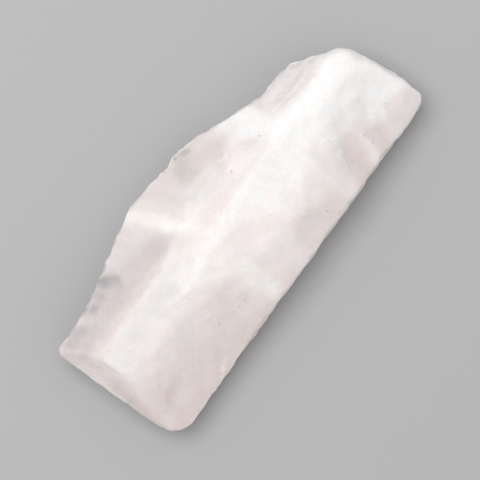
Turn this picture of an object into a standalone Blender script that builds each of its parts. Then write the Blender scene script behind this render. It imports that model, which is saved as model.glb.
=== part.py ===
"""Rough rose quartz: one split slab of massive quartz, lying on its flat underside.

Frame: +X runs along the slab to its broken end, +Y to its thin edge, +Z up.
The origin is on the ground under the middle of the stone. Lengths below are in
millimetres, and MM turns them into metres.
"""

import math

import bmesh
import bpy
from mathutils import Matrix, Vector, noise
from mathutils.bvhtree import BVHTree

MM = 0.001

# Driving dimensions
THICKNESS = 22.0        # crest above the underside
SPARE = 2.0             # stone left under the underside and over the crest, cut off later
WELD = 0.01             # corners nearer than this are one corner
BROAD_SWELL = 0.45      # how far the faces swell in and out
BROAD_SWELL_WAVE = 13.0
FINE_SWELL = 0.22       # and the smaller swell on top of it
FINE_SWELL_WAVE = 4.5

# How the hewn shape is turned into the finished solid
VOXEL = 0.8             # grain of the even mesh, in millimetres
EDGE_WEAR = 4           # rounds of smoothing that take the bite off the arrises
TRIANGLES = 9400        # what the even mesh is thinned to, before the underside is cut
BALL_DETAIL = 5         # subdivisions of the balls that leave the flake scars
SHARP_EDGE = 35         # degrees between faces, over which an edge stays crisp

# The plan of the slab, anticlockwise from above, one list for each side.
SAWN_END = [
    (-60.1, 18.8), (-62.0, 17.9), (-62.6, 15.0), (-62.6, -12.0),
    (-62.1, -18.7), (-60.6, -22.2), (-58.8, -25.0),
]
LONG_EDGE = [(-56.6, -26.2), (54.3, -25.8)]
BROKEN_END = [
    (59.8, -25.2), (62.2, -23.4), (62.5, -19.7), (62.8, -16.4), (62.3, -11.5),
    (61.6, -6.5), (61.2, -1.0), (60.2, 2.3), (57.8, 5.0),
]
THIN_EDGE = [
    (54.9, 6.7), (52.2, 8.8), (49.3, 10.3), (47.5, 12.3), (45.2, 13.8),
    (42.4, 13.6), (40.0, 14.2), (35.0, 14.2), (30.0, 15.7), (20.0, 19.2),
    (15.0, 22.0), (6.5, 24.5), (3.4, 25.0), (0.6, 23.6), (-1.2, 24.8),
    (-8.0, 25.7), (-16.3, 26.1), (-19.0, 25.4), (-24.0, 24.6), (-28.5, 23.1),
    (-32.8, 22.7), (-35.6, 21.5), (-45.0, 19.5), (-50.0, 18.8),
]

# Split faces, each a plane: a spot on it, the way it faces (degrees round from +X)
# and its dip (degrees from level). Over 90 it looks down, as under an overhang.
TOP_FACES = {
    "plateau": ((-30.0, 2.0, 20.8), 200, 2),
    "sawn bevel": ((-55.5, 0.0, 20.0), 180, 50),
    "thin flank, sawn end": ((-40.0, 8.7, 20.5), 93, 32),
    "thin flank, middle": ((0.0, 3.0, 22.0), 90, 16),
    "thin flank, broken end": ((40.0, 4.0, 21.3), 83, 36.5),
    "long flank, upper": ((0.0, 3.0, 22.0), 270, 8),
    "long flank, shoulder": ((-30.0, -2.5, 20.8), 264, 11),
    "long flank, lower": ((-35.0, -6.5, 20.0), 262, 25),
    "long flank, broken end": ((40.0, -3.0, 21.0), 285, 20),
    "crest, broken end": ((35.0, 2.0, 21.8), 0, 6),
    "broken end, upper": ((60.3, -8.0, 15.0), 4, 66),
}
SIDE_FACES = {
    "long side": ((0.0, -25.9, 8.0), 270.2, 99),
    "long side, foot": ((0.0, -24.6, 2.5), 272, 128),
    "sawn end": ((-62.5, 0.0, 9.0), 180, 93),
    "broken end, lower": ((62.6, -14.0, 8.0), 356, 112),
    "corner under the broken end": ((58.5, 4.0, 7.0), 42, 132),
    "under the thin edge, sawn end": ((-45.0, 19.6, 8.0), 104, 148),
    "under the thin edge, middle": ((-12.0, 26.0, 6.0), 92, 143),
    "under the thin edge, broken end": ((27.0, 17.0, 7.5), 71, 146),
}

# Flake scars, each a shallow round hollow: where it is struck and towards what
# (spots in the slab), how long, wide and deep it is, and how its length is turned.
DOWN = (0, 0, -1)
FLAKE_SCARS = {
    "long flank, sawn half": ((-34, -21, 40), DOWN, 46, 42, 1.3, 0),
    "long flank, middle": ((-2, -7, 40), DOWN, 24, 15, 0.5, 80),
    "long flank, notch side": ((15, -24, 40), DOWN, 26, 18, 1.1, 0),
    "fan, first": ((37, -19, 40), DOWN, 30, 14, 1.5, 66),
    "fan, second": ((53, -19, 40), DOWN, 30, 16, 1.3, 68),
    "thin flank, bowl": ((3, 19, 40), DOWN, 30, 27, 2.0, 0),
    "thin flank, ridge side": ((-25, 21, 40), DOWN, 20, 13, 0.8, 35),
    "thin flank, long hollow": ((41, 12, 40), DOWN, 27, 14, 1.9, 170),
    "thin edge, largest bite": ((-38, 20, 40), DOWN, 12, 11, 1.3, 0),
    "thin edge, small bite": ((-47.5, 18.6, 40), DOWN, 8, 7, 0.9, 0),
    "thin edge, corner bite": ((-55, 18.6, 40), DOWN, 11, 8, 1.0, 0),
    "thin edge, dark bite": ((7, 21, 40), DOWN, 9, 8, 0.7, 0),
    "long side, wide": ((-33, -60, 4), (0, 1, 0), 44, 11, 1.1, 4),
    "long side, middle": ((8, -60, 5), (0, 1, 0), 34, 14, 1.1, -6),
    "long side, broken end": ((44, -60, 5), (0, 1, 0), 30, 11, 1.3, 6),
    "long side, step at the sawn end": ((-51, -60, 5), (0, 1, 0), 20, 8, 1.5, 16),
    "long side, step under the crest": ((-11, -60, 7), (0, 1, 0), 22, 7, 1.3, -8),
    "long side, step at the foot": ((25, -60, 4), (0, 1, 0), 24, 9, 1.7, 13),
    "long side, step at the corner": ((57, -60, 3), (0, 1, 0), 14, 8, 1.6, -14),
    "under the thin edge, sawn half": ((-36, 60, 5), (0, -1, 0), 30, 12, 1.4, 10),
    "under the thin edge, middle": ((-3, 60, 4), (0, -1, 0), 22, 11, 1.2, -15),
    "under the thin edge, broken half": ((30, 60, 5), (0, -1, 0), 28, 12, 1.4, 12),
    "broken end, upper": ((90, -5, 7), (-1, 0, 0), 18, 13, 1.1, 30),
    "broken end, lower": ((90, -19, 7), (-1, 0, 0), 16, 12, 1.2, -20),
    "broken end, step at the foot": ((90, -11, 3), (-1, 0, 0), 16, 8, 1.7, 12),
    "broken end, shoulder": ((90, 0, 16), (-1, 0, 0), 12, 7, 0.8, -25),
}


def clear_scene():
    for item in list(bpy.data.objects):
        bpy.data.objects.remove(item, do_unlink=True)


def face_normal(facing, dip):
    """The outward normal of a plane that faces `facing` and dips by `dip` degrees."""
    round_z = math.radians(facing)
    from_up = math.radians(dip)
    level = math.sin(from_up)
    return Vector((level * math.cos(round_z), level * math.sin(round_z), math.cos(from_up)))


def evaluated_mesh(item):
    """The object's mesh with its modifiers applied."""
    depsgraph = bpy.context.evaluated_depsgraph_get()
    return bpy.data.meshes.new_from_object(item.evaluated_get(depsgraph), depsgraph=depsgraph)


def cut_block():
    """A block with the slab's outline, and with straight sides."""
    curve = bpy.data.curves.new("slab_outline", "CURVE")
    curve.dimensions = "2D"
    curve.fill_mode = "BOTH"
    curve.extrude = (THICKNESS / 2 + SPARE) * MM
    outline = SAWN_END + LONG_EDGE + BROKEN_END + THIN_EDGE
    spline = curve.splines.new("POLY")
    spline.points.add(len(outline) - 1)
    for point, (x, y) in zip(spline.points, outline):
        point.co = (x * MM, y * MM, 0.0, 1.0)
    spline.use_cyclic_u = True
    guide = bpy.data.objects.new("slab_outline", curve)
    bpy.context.scene.collection.objects.link(guide)
    guide.location.z = THICKNESS / 2 * MM
    bpy.context.view_layer.update()
    block = evaluated_mesh(guide)
    block.transform(guide.matrix_world)
    bpy.data.objects.remove(guide)
    return block


def split(body, spot, facing, dip):
    """Split the body along one plane and take away what lies in front of it."""
    bmesh.ops.bisect_plane(
        body,
        geom=body.verts[:] + body.edges[:] + body.faces[:],
        dist=0.0,
        plane_co=Vector(spot) * MM,
        plane_no=face_normal(facing, dip),
        clear_outer=True,
    )
    rim = [edge for edge in body.edges if edge.is_boundary]
    bmesh.ops.holes_fill(body, edges=rim, sides=0)


def hew(block):
    """Split the block along its broad faces, top and sides."""
    body = bmesh.new()
    body.from_mesh(block)
    bmesh.ops.remove_doubles(body, verts=body.verts, dist=WELD * MM)
    for faces in (TOP_FACES, SIDE_FACES):
        for spot, facing, dip in faces.values():
            split(body, spot, facing, dip)
    bmesh.ops.recalc_face_normals(body, faces=body.faces)
    body.to_mesh(block)
    body.free()


def flake_cutter(name, surface, collection, aim, toward, length, width, depth, turn):
    """A flattened ball, set where the blow lands, that bites `depth` into the face."""
    landed, normal, _, _ = surface.ray_cast(Vector(aim) * MM, Vector(toward))
    radius = (width * width / 4 + depth * depth) / (2 * depth) * MM
    level = Vector((normal.y, -normal.x, 0)) if abs(normal.z) < 0.5 else Vector((1, 0, 0))
    along = (level - level.dot(normal) * normal).normalized()
    axes = Matrix((along, normal.cross(along), normal)).transposed().to_4x4()
    place = Matrix.Translation(landed + normal * (radius - depth * MM))
    stretch = Matrix.Diagonal((length / width, 1, 1, 1))
    bpy.ops.mesh.primitive_ico_sphere_add(subdivisions=BALL_DETAIL, radius=radius)
    cutter = bpy.context.active_object
    cutter.name = "flake " + name
    cutter.data.transform(place @ axes @ Matrix.Rotation(math.radians(turn), 4, "Z") @ stretch)
    cutter.hide_render = True
    cutter.display_type = "WIRE"
    for home in list(cutter.users_collection):
        home.objects.unlink(cutter)
    collection.objects.link(cutter)
    return cutter


def strike_flakes(stone, collection):
    """Take every flake scar out of the stone."""
    body = bmesh.new()
    body.from_mesh(stone.data)
    surface = BVHTree.FromBMesh(body)
    body.free()
    for name, blow in FLAKE_SCARS.items():
        cut = stone.modifiers.new(name, "BOOLEAN")
        cut.operation = "DIFFERENCE"
        cut.solver = "EXACT"
        cut.object = flake_cutter(name, surface, collection, *blow)


def weather(stone):
    """Round the arrises, and give the faces the slow swell of a broken surface."""
    even = stone.modifiers.new("even mesh", "REMESH")
    even.mode = "VOXEL"
    even.voxel_size = VOXEL * MM
    wear = stone.modifiers.new("edge wear", "SMOOTH")
    wear.factor = 0.5
    wear.iterations = EDGE_WEAR
    shaped = evaluated_mesh(stone)
    stone.modifiers.clear()
    stone.data = shaped

    body = bmesh.new()
    body.from_mesh(shaped)
    body.normal_update()
    moves = [vert.normal * swell(vert.co) for vert in body.verts]
    for vert, move in zip(body.verts, moves):
        vert.co += move
    body.to_mesh(shaped)
    body.free()


def swell(place):
    """How far the surface stands in or out at a place, in metres."""
    elsewhere = Vector((7.0, 3.0, 5.0))
    broad = noise.noise(place / (BROAD_SWELL_WAVE * MM))
    fine = noise.noise(place / (FINE_SWELL_WAVE * MM) + elsewhere)
    return (BROAD_SWELL * broad + FINE_SWELL * fine) * MM


def thin(stone):
    """Bring the even mesh, which is all quads, down to the triangles that its shape needs."""
    thinner = stone.modifiers.new("thin", "DECIMATE")
    thinner.ratio = TRIANGLES / (2 * len(stone.data.polygons))
    thinner.use_collapse_triangulate = True
    thinned = evaluated_mesh(stone)
    stone.modifiers.clear()
    stone.data = thinned


def bed(stone):
    """Cut the underside flat on the ground and centre the stone over the origin."""
    body = bmesh.new()
    body.from_mesh(stone.data)
    split(body, (0, 0, 0), 0, 180)
    bmesh.ops.triangulate(body, faces=[face for face in body.faces if len(face.verts) > 3])
    xs = [vert.co.x for vert in body.verts]
    ys = [vert.co.y for vert in body.verts]
    middle = Vector(((min(xs) + max(xs)) / 2, (min(ys) + max(ys)) / 2, 0))
    bmesh.ops.translate(body, verts=body.verts, vec=-middle)
    bmesh.ops.recalc_face_normals(body, faces=body.faces)
    body.to_mesh(stone.data)
    body.free()
    stone.data.shade_smooth()
    stone.data.set_sharp_from_angle(angle=math.radians(SHARP_EDGE))


def rose_quartz_material():
    material = bpy.data.materials.new("rose_quartz")
    material.use_nodes = True
    shader = material.node_tree.nodes["Principled BSDF"]
    shader.inputs["Base Color"].default_value = (0.86, 0.74, 0.72, 1.0)
    shader.inputs["Roughness"].default_value = 0.4
    shader.inputs["Metallic"].default_value = 0.0
    return material


def main():
    clear_scene()
    parts = bpy.data.collections.new("rough_rose_quartz")
    cutters = bpy.data.collections.new("cutters")
    for collection in (parts, cutters):
        bpy.context.scene.collection.children.link(collection)

    block = cut_block()
    hew(block)
    stone = bpy.data.objects.new("rose_quartz", block)
    parts.objects.link(stone)
    strike_flakes(stone, cutters)
    weather(stone)
    for cutter in list(cutters.objects):
        bpy.data.objects.remove(cutter)
    thin(stone)
    bed(stone)
    stone.data.materials.clear()
    stone.data.materials.append(rose_quartz_material())


main()
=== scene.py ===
# %% [markdown]
# # Rough rose quartz
# Rose quartz grows as a solid, cloudy mass, with no crystal faces of its own. A miner's
# hammer splits it, so a rough piece is a set of broad flat faces that meet at soft edges,
# with shallow round scars where flakes came off. This lesson starts from the plain solid
# of the slab, gives it a fine surface, and then builds a milky stone that light goes into.

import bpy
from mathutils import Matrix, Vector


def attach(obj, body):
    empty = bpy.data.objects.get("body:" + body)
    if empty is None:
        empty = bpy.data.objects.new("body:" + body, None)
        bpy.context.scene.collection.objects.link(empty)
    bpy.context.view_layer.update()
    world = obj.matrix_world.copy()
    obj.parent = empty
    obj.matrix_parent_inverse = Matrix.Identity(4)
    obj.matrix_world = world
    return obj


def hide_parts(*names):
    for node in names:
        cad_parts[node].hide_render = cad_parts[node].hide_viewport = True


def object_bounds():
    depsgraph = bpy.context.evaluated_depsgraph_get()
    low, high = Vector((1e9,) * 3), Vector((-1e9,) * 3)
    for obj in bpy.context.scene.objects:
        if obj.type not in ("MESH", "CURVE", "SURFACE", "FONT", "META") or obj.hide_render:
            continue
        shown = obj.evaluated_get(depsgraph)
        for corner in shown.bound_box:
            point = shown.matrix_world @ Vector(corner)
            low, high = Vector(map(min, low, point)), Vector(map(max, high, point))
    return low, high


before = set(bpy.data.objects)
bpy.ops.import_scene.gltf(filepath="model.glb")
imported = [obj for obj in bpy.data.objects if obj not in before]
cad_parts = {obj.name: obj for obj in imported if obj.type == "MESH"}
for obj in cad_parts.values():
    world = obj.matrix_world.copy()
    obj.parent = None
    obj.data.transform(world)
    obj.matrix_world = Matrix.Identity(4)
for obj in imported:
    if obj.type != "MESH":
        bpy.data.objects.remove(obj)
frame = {"nodes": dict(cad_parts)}
solid_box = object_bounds()
print("plain solids:", ", ".join(frame["nodes"]))

# %% [markdown]
# Blender works in metres and a stone is easier to think about in millimetres, so one
# constant turns millimetres into metres. The slab lies along X, its thin edge is on the
# +Y side, and it rests on the ground at zero height.

# %% Units and size
import math
import random

import bmesh
import bpy
import numpy as np
from mathutils import Matrix, Vector, noise
from mathutils.bvhtree import BVHTree
from mathutils.kdtree import KDTree

MM = 0.001
NOISE_SEED = 41  # any number but 0, which would start the vector noise from the clock
noise.seed_set(NOISE_SEED)
low, high = solid_box
length, width, height = (high - low) / MM
print(f"slab: {length:.1f} x {width:.1f} x {height:.1f} mm")

# %% [markdown]
# ## A fine, even mesh
# The plain solid is some eight thousand triangles, big where the stone is flat. A copy is
# merged into one skin, and a voxel remesh then gives small even squares, like a fine clay
# that can be worked. Subdividing the triangles would be another way, but it would keep
# their long thin shapes, and those show as soon as the surface is moved.

# %% Copy, merge and remesh the slab
GRAIN = 0.47  # size of one square of the fine mesh, in millimetres
SAME_SPOT = 0.001  # points nearer to each other than this become one, in millimetres


def put_in_scene(name, data):
    """A new object of the scene."""
    made = bpy.data.objects.new(name, data)
    bpy.context.scene.collection.objects.link(made)
    return made


def even_copy(node_name, piece_name, grain):
    """A copy of a plain solid, merged and turned into small even squares."""
    skin = bmesh.new()
    skin.from_mesh(frame["nodes"][node_name].data)
    bmesh.ops.remove_doubles(skin, verts=skin.verts, dist=SAME_SPOT * MM)
    mesh = bpy.data.meshes.new(piece_name)
    skin.to_mesh(mesh)
    skin.free()
    piece = put_in_scene(piece_name, mesh)
    even = piece.modifiers.new("even squares", "REMESH")
    even.mode = "VOXEL"
    even.voxel_size = grain * MM
    depsgraph = bpy.context.evaluated_depsgraph_get()
    piece.data = bpy.data.meshes.new_from_object(piece.evaluated_get(depsgraph))
    piece.modifiers.clear()
    return piece


stone = even_copy("rose_quartz", "rose_quartz_stone", GRAIN)
print(f"fine mesh: {len(stone.data.polygons)} squares")

# %% [markdown]
# ## Worn arrises
# An arris is the edge where two faces meet. On a handled stone it is slightly rounded, so
# the whole skin is relaxed a few times. Each round moves a point halfway to the middle of
# its neighbours, which also takes out the small flats of the plain solid.

# %% Relax the skin
RELAX_ROUNDS = 6
HALFWAY = 0.5  # how far one round moves a point


def relax(skin, rounds, share=HALFWAY, verts=None):
    """Smooth the whole skin, or only some of its points, a number of times."""
    for _ in range(rounds):
        bmesh.ops.smooth_vert(
            skin, verts=skin.verts if verts is None else verts, factor=share,
            use_axis_x=True, use_axis_y=True, use_axis_z=True,
        )


skin = bmesh.new()
skin.from_mesh(stone.data)
relax(skin, RELAX_ROUNDS)
skin.normal_update()
print(f"relaxed {len(skin.verts)} points")

# %% [markdown]
# ## Split faces
# A few faces of the slab are true splits and stay crisp: the flat top, the bevel at the
# sawn end, and the two flanks that meet in the crest. Each is a plane, given by a spot on
# it, the way it faces round the slab and how far it dips from level. Points that stand
# above the plane are pressed back onto it, as if the face were rubbed on a flat plate.

# %% Rub the split faces flat
SPLIT_FACES = {
    "plateau": ((-30, 2, 20.72), 200, 2),
    "sawn bevel": ((-55.5, 0, 19.85), 180, 50),
    "thin flank, sawn end": ((-40, 7.6, 20.36), 93, 32),
    "thin flank, middle": ((0, 3, 21.93), 90, 16),
    "long flank, upper": ((0, 3, 21.93), 270, 8),
    "thin flank, broken end": ((40, 4, 21.2), 83, 36.5),
    "sawn end": ((-62.4, 0, 9), 180, 93),
}
SOFTER_SPLITS = 0.35  # a last light round, for their borders


def face_direction(facing, dip):
    """The way out of a face that faces `facing` degrees round and dips by `dip` degrees."""
    round_z, from_up = math.radians(facing), math.radians(dip)
    level = math.sin(from_up)
    return Vector((level * math.cos(round_z), level * math.sin(round_z), math.cos(from_up)))


def rub_flat(skin, spot, facing, dip):
    """Press every point that stands above a plane back onto it."""
    spot, out = Vector(spot) * MM, face_direction(facing, dip)
    pressed = 0
    for vert in skin.verts:
        above = (vert.co - spot).dot(out)
        if above > 0:
            vert.co -= out * above
            pressed += 1
    return pressed


for name, face in SPLIT_FACES.items():
    print(f"{name}: {rub_flat(skin, *face)} points pressed")
relax(skin, 1, SOFTER_SPLITS)

# %% [markdown]
# Not every border is crisp. An old hollow fades where it runs out onto a face, an edge is
# rubbed where the stone was handled, and a corner is knocked round. The points near such a
# line are relaxed again and again, and the rest of the skin is left alone.

# %% Wear some edges and corners
WORN = {  # from, to, how far the wear reaches, and rounds
    "bowl of the thin flank": ((3, 16), (3, 16), 17, 20),
    "bowl, lower rim": ((-8, 8.6), (17, 8.6), 4, 26),
    "long hollow": ((41, 9), (41, 9), 12, 8),
    "crest, broken half": ((27, 4.2), (57, 4), 4.5, 60),
    "fan": ((44, -15), (44, -15), 18, 6),
    "under the plateau": ((-38, -10), (-38, -10), 15, 14),
    "plateau, upper edge": ((-54, 7.8), (-14, 9.2), 3.2, 14),
    "bevel, lower edge": ((-56.5, -6), (-60.5, -16), 5, 60),
    "bevel, upper edge": ((-60.5, 16), (-56.5, 9), 3.6, 20),
    "broken end, crest corner": ((58.5, 4.5), (61, -4), 5, 40),
}
WORN_ABOVE = 9  # only points above this height, in millimetres,
WORN_UP = 0.1  # and facing up by this much, are worn
NO_LENGTH = 0.01  # the least squared length of a line


def clamp(value, least=0.0, most=1.0):
    """A value held between two others."""
    return min(max(value, least), most)


def off_line(here, line):
    """How far a spot is from a line, and the share of the line where it is nearest."""
    along = clamp(here.dot(line) / max(line.length_squared, NO_LENGTH))
    return (here - line * along).length, along


def wear(skin, start, end, reach, rounds):
    """Relax the top of the stone along a line."""
    start, line = Vector(start), Vector(end) - Vector(start)
    near = []
    for vert in skin.verts:
        on_top = vert.co.z > WORN_ABOVE * MM and vert.normal.z > WORN_UP
        if on_top and off_line(vert.co.xy / MM - start, line)[0] < reach:
            near.append(vert)
    relax(skin, rounds, verts=near)
    return len(near)


for name, line in WORN.items():
    print(f"{name}: {wear(skin, *line)} points worn")
skin.normal_update()

# %% [markdown]
# ## Swelling and trimming the outline
# Seen from above, the outline bulges a little in some places and is cut back in others.
# A soft brush does this: every point within its reach is moved the same way, most in the
# middle and nothing at the rim, so that the surface stays smooth.

# %% Push the outline
PUSHES = {  # x, y, reach along and across, move along and across, in millimetres
    # and, where they differ from most: height of the middle, reach and move up
    "bulge past the notch": (4.6, 24, 8, 9, 0, 1.25),
    "long edge, sawn corner": (-49, -25.5, 12, 8, 0, -1),
    "long edge, sawn half": (-31, -25.5, 14, 8, 0, -0.45),
    "long edge, fan": (31, -25.5, 11, 8, 0, -0.4),
    "long edge, broken corner": (51, -25.5, 10, 8, 0, -0.6),
    "broken corner": (57, 6, 7, 7, -0.5, -0.85, 12, 12, 0),
    "thin edge, broken half": (24, 18.5, 10, 7, 0, -0.4),
    "broken end, upper": (60, -6, 4.5, 12, 1.2, 0, 16.5, 7, 0.5),
    "broken end, crest": (59.5, 2, 4, 6, 1, 0, 17, 7, 0.8),
    "broken end, foot": (59.5, -24, 6, 5, 1, -0.4, 10, 10, 0),
    "bulge, far side": (12, 22.5, 6, 5, 0, 0.75),
    "thin edge, by the smoke": (-40, 20.5, 4.5, 5, 0, 0.45),
    "thin edge, past the ridge": (34, 14.5, 5, 5, 0, -0.4),
    "long edge, middle": (5, -25.5, 12, 8, 0, -0.55),
    "sawn end, middle": (-62, 3, 5, 9, -0.4, 0, 8, 12, 0),
    "sawn end, foot": (-60, -22, 4, 5, -0.4, -0.5, 10, 10, 0),
    "thin edge, beside the ridge": (-20, 25, 7, 6, 0, -0.5),
}


def push(skin, x, y, along, across, move_x, move_y, z=10, tall=9, move_z=0):
    """Move the points in an oval round the middle, most at its centre."""
    middle, reach, move = (x, y, z), (along, across, tall), (move_x, move_y, move_z)
    for vert in skin.verts:
        far = sum(((vert.co[i] / MM - middle[i]) / reach[i]) ** 2 for i in range(3))
        if far < 1:
            vert.co += Vector(move) * MM * (1 - far) ** 2


for brush in PUSHES.values():
    push(skin, *brush)
skin.normal_update()
print(f"pushed the outline in {len(PUSHES)} places")

# %% [markdown]
# ## Chips along the edges
# Where an edge was knocked, small flakes left hollows with sharp rims. Each chip is cut
# with an unseen ball, drawn out along the slab, that bites a little into the stone: points
# inside the ball are pushed out to its skin. A ball much wider than its bite gives the
# right shallow hollow. A chip sits on the arris, so its spot is the one that stands
# furthest out in a thin slice of the stone.

# %% Cut a chip
def tree_of(spots):
    """A search tree, which quickly finds the spots near a place."""
    tree = KDTree(len(spots))
    for index, spot in enumerate(spots):
        tree.insert(spot, index)
    tree.balance()
    return tree


skin.verts.ensure_lookup_table()
finder = tree_of([vert.co for vert in skin.verts])
slices = {}
for vert in skin.verts:
    slices.setdefault(round(vert.co.x / MM), []).append(vert)


def chip(spot, out, across, deep, long):
    """Take a shallow flake `across` wide and `deep` mm deep, drawn out along the slab."""
    radius = (across * across / 4 + deep * deep) / (2 * deep) * MM
    middle = spot + out * (radius - deep * MM)
    for _, index, _ in finder.find_range(spot, across * long * MM):
        away = skin.verts[index].co - middle
        away.x /= long
        if away.length < radius:
            away *= radius / away.length
            away.x *= long
            skin.verts[index].co = middle + away


def edge_spot(x, toward):
    """Where the slice at x stands furthest out in a direction."""
    return max(slices[round(x)], key=lambda vert: vert.co.dot(toward)).co.copy()


def direction(side, rise, lean=0.0):
    """Out over the thin edge (side 1) or the long edge (side -1), raised by some degrees."""
    up = math.radians(rise)
    return Vector((lean, side * math.cos(up), math.sin(up))).normalized()


print(f"{len(slices)} slices to look for edges in")

# %% [markdown]
# Some chips have their own places. The others fall anywhere along the edges, most of them
# on the thin one, and a seeded set of dice keeps them the same each time.

# %% Knock the edges
KNOWN_CHIPS = {  # along the slab, side, rise, then width, depth and length ratio
    "notch": (0.4, 1, 8, 1.9, 0.85, 1),
    "notch, upper lip": (-0.6, 1, 45, 2.6, 0.35, 1.2),
    "lip past the notch": (7.2, 1, 30, 2.6, 0.22, 1.6),
    "thin edge, dip": (-23, 1, 20, 2.4, 0.3, 1.3),
    "thin edge, next dip": (-27.2, 1, 25, 2.2, 0.32, 1.2),
    "thin edge, third dip": (-31.4, 1, 20, 2.6, 0.34, 1.3),
    "thin edge, fourth dip": (-35.8, 1, 25, 2.4, 0.3, 1.3),
    "nick, sawn half": (-20.5, -1, 25, 2, 0.38, 1.2),
    "nick, beside it": (-24, -1, 35, 2.4, 0.28, 1.5),
    "nick, fan": (39.5, -1, 25, 2.2, 0.42, 1.3),
    "nick, fan, next": (43.3, -1, 30, 2, 0.36, 1.2),
    "pale chip, sawn half": (-37.6, -1, 50, 2.2, 0.26, 1.4),
    "pale chip, beside it": (-35.6, -1, 62, 1.9, 0.22, 1.2),
    "pale chip, middle": (19.3, -1, 52, 1.9, 0.24, 1.3),
    "scallop, broken end": (38.4, 1, 30, 3.6, 0.35, 1.5),
    "scallop, broken end, next": (43.6, 1, 35, 3.4, 0.35, 1.4),
    "scallop, corner": (49, 1, 30, 3.4, 0.4, 1.3),
}
for x, side, rise, *size in KNOWN_CHIPS.values():
    out = direction(side, rise)
    chip(edge_spot(x, out), out, *size)

CHIP_SEED = 41
CHIPPED = range(-57, 59, 2)  # the places along the slab, in millimetres
THIN_EDGE_SHARE = 0.66  # how many are on the thin edge
CHIP_RISE = (-20, 32)  # then what the dice choose between: degrees up,
CHIP_LEAN = (-0.3, 0.3)  # the lean along the slab,
CHIP_SHIFT = (-0.9, 0.9)  # millimetres off the place,
CHIP_SIZE = ((1.3, 3.0), (0.10, 0.28), (1.0, 1.9))  # and width, depth and length ratio
CLEAN_BREAK = (13, 36)  # the thin edge has no small chips between these
SOFTER_CHIPS = 0.3  # a light round, for their rims
dice = random.Random(CHIP_SEED)
small_chips = 0
for x in CHIPPED:
    side = 1 if dice.random() < THIN_EDGE_SHARE else -1
    out = direction(side, dice.uniform(*CHIP_RISE), dice.uniform(*CHIP_LEAN))
    spot = edge_spot(x + dice.uniform(*CHIP_SHIFT), out)
    flake = [dice.uniform(*limits) for limits in CHIP_SIZE]
    if side == -1 or not CLEAN_BREAK[0] < x < CLEAN_BREAK[1]:
        chip(spot, out, *flake)
        small_chips += 1
relax(skin, 1, SOFTER_CHIPS)
print(f"chips: {len(KNOWN_CHIPS)} known, {small_chips} small")
skin.normal_update()

# %% [markdown]
# ## The broken surface
# Quartz breaks like thick glass. The faces swell and dip slowly, and close up they have a
# faint orange-peel grain. Three sizes of noise, each two or three times finer than the
# last, give this relief. The side walls were torn, so they are rougher and have creases.

# %% Swell and grain
SWELLS = [(9.0, 0.10), (3.2, 0.07), (1.4, 0.035)]  # wavelength and height, in mm
SWELL_SHIFT = (5.3, 2.1, 7.7)  # keeps the sizes from lining up
SIDES_ROUGHER = 1.4  # how much more the walls swell than the top
WALL_STARTS = 0.75  # a face that looks up less than this starts to be a wall,
WALL_SOFT = 0.45  # and by this much less it is one
HACKLE_WAVE = 6.0  # how far apart the creases of the walls are, in mm,
HACKLE_DEEP = 1.1  # and how deep they are
HACKLE_DRAWN = 0.55  # they are drawn out level by this ratio
HACKLE_FINER = 2.3  # a second set is this much finer,
HACKLE_SECOND = 0.5  # and this much as strong
HACKLE_OPENS = 0.45  # noise weaker than this opens a crease


def swell(place):
    """Height of the broken surface at a place, in millimetres."""
    total = 0.0
    for step, (wave, tall) in enumerate(SWELLS):
        shifted = place / (wave * MM) + Vector([step * shift for shift in SWELL_SHIFT])
        total += tall * noise.noise(shifted)
    return total


def steepness(lean):
    """Nothing on the top, one on a side wall."""
    return clamp((WALL_STARTS - abs(lean.z)) / WALL_SOFT)


def hackle(place):
    """Creases where the crack tore through the side faces, in millimetres."""
    drawn = Vector((place.x * HACKLE_DRAWN, place.y * HACKLE_DRAWN, place.z))
    drawn /= HACKLE_WAVE * MM
    crease = abs(noise.noise(drawn)) + HACKLE_SECOND * abs(noise.noise(drawn * HACKLE_FINER))
    return -HACKLE_DEEP * max(HACKLE_OPENS - crease, 0.0)


print(f"{len(SWELLS)} sizes of swell, and creases {HACKLE_DEEP} mm deep at most")


# %% [markdown]
# ## Ripples
# A blow sends rings through quartz, like a stone dropped in water, and they stay behind as
# faint ripples in the scar. Each scar below has the spot it was struck from, how far its
# rings reach, how far apart they are and how tall they stand, and then the middle and the
# reach of the scar itself, past which no ring is seen.

# %% Ripples in the scars
RIPPLES = {
    "fan, first": ((33, -31, 12), 27, 3.4, 0.03, (34, -16), 11),
    "fan, second": ((60, -31, 12), 30, 3.9, 0.03, (51, -16), 12),
    "thin flank, bowl": ((3, 31, 10), 32, 4.2, 0.05, (3, 16), 13),
    "largest bite": ((-38, 25, 10), 14, 1.9, 0.03, (-38, 17), 7),
    "corner bite": ((-55, 25, 10), 14, 1.7, 0.03, (-53, 16), 7),
    "long hollow": ((52, 18, 10), 34, 2.6, 0.035, (41, 9), 12),
    "great arc": ((-40, -34, 10), 46, 5.2, 0.06, (-22, -9), 16),
}
RINGS_ABOVE = 3  # no rings below this height, in millimetres
RING_WOBBLE = 0.5  # how far the rings wander, in millimetres,
RING_WAVE = 5.0  # and how far apart their bends are


def ripple(place):
    """Height of the rings at a place, in millimetres."""
    total = 0.0
    for struck, reach, apart, tall, middle, round_about in RIPPLES.values():
        here = place / MM
        off = math.hypot(here.x - middle[0], here.y - middle[1])
        if off < round_about and here.z > RINGS_ABOVE:
            ring = (here - Vector(struck)).length
            if ring < reach:
                ring += RING_WOBBLE * noise.noise(here / RING_WAVE)
                dying = (1 - (off / round_about) ** 2) ** 2
                total += tall * dying * math.cos(math.tau * ring / apart)
    return total


print(f"{len(RIPPLES)} scars with rings")


# %% [markdown]
# ## Steps and hackles
# Where a crack changed its mind it left a step or a fine raised line. These are drawn as
# strokes from spot to spot across the top, each with a width and a height, which is below
# nothing for a groove.

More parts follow.
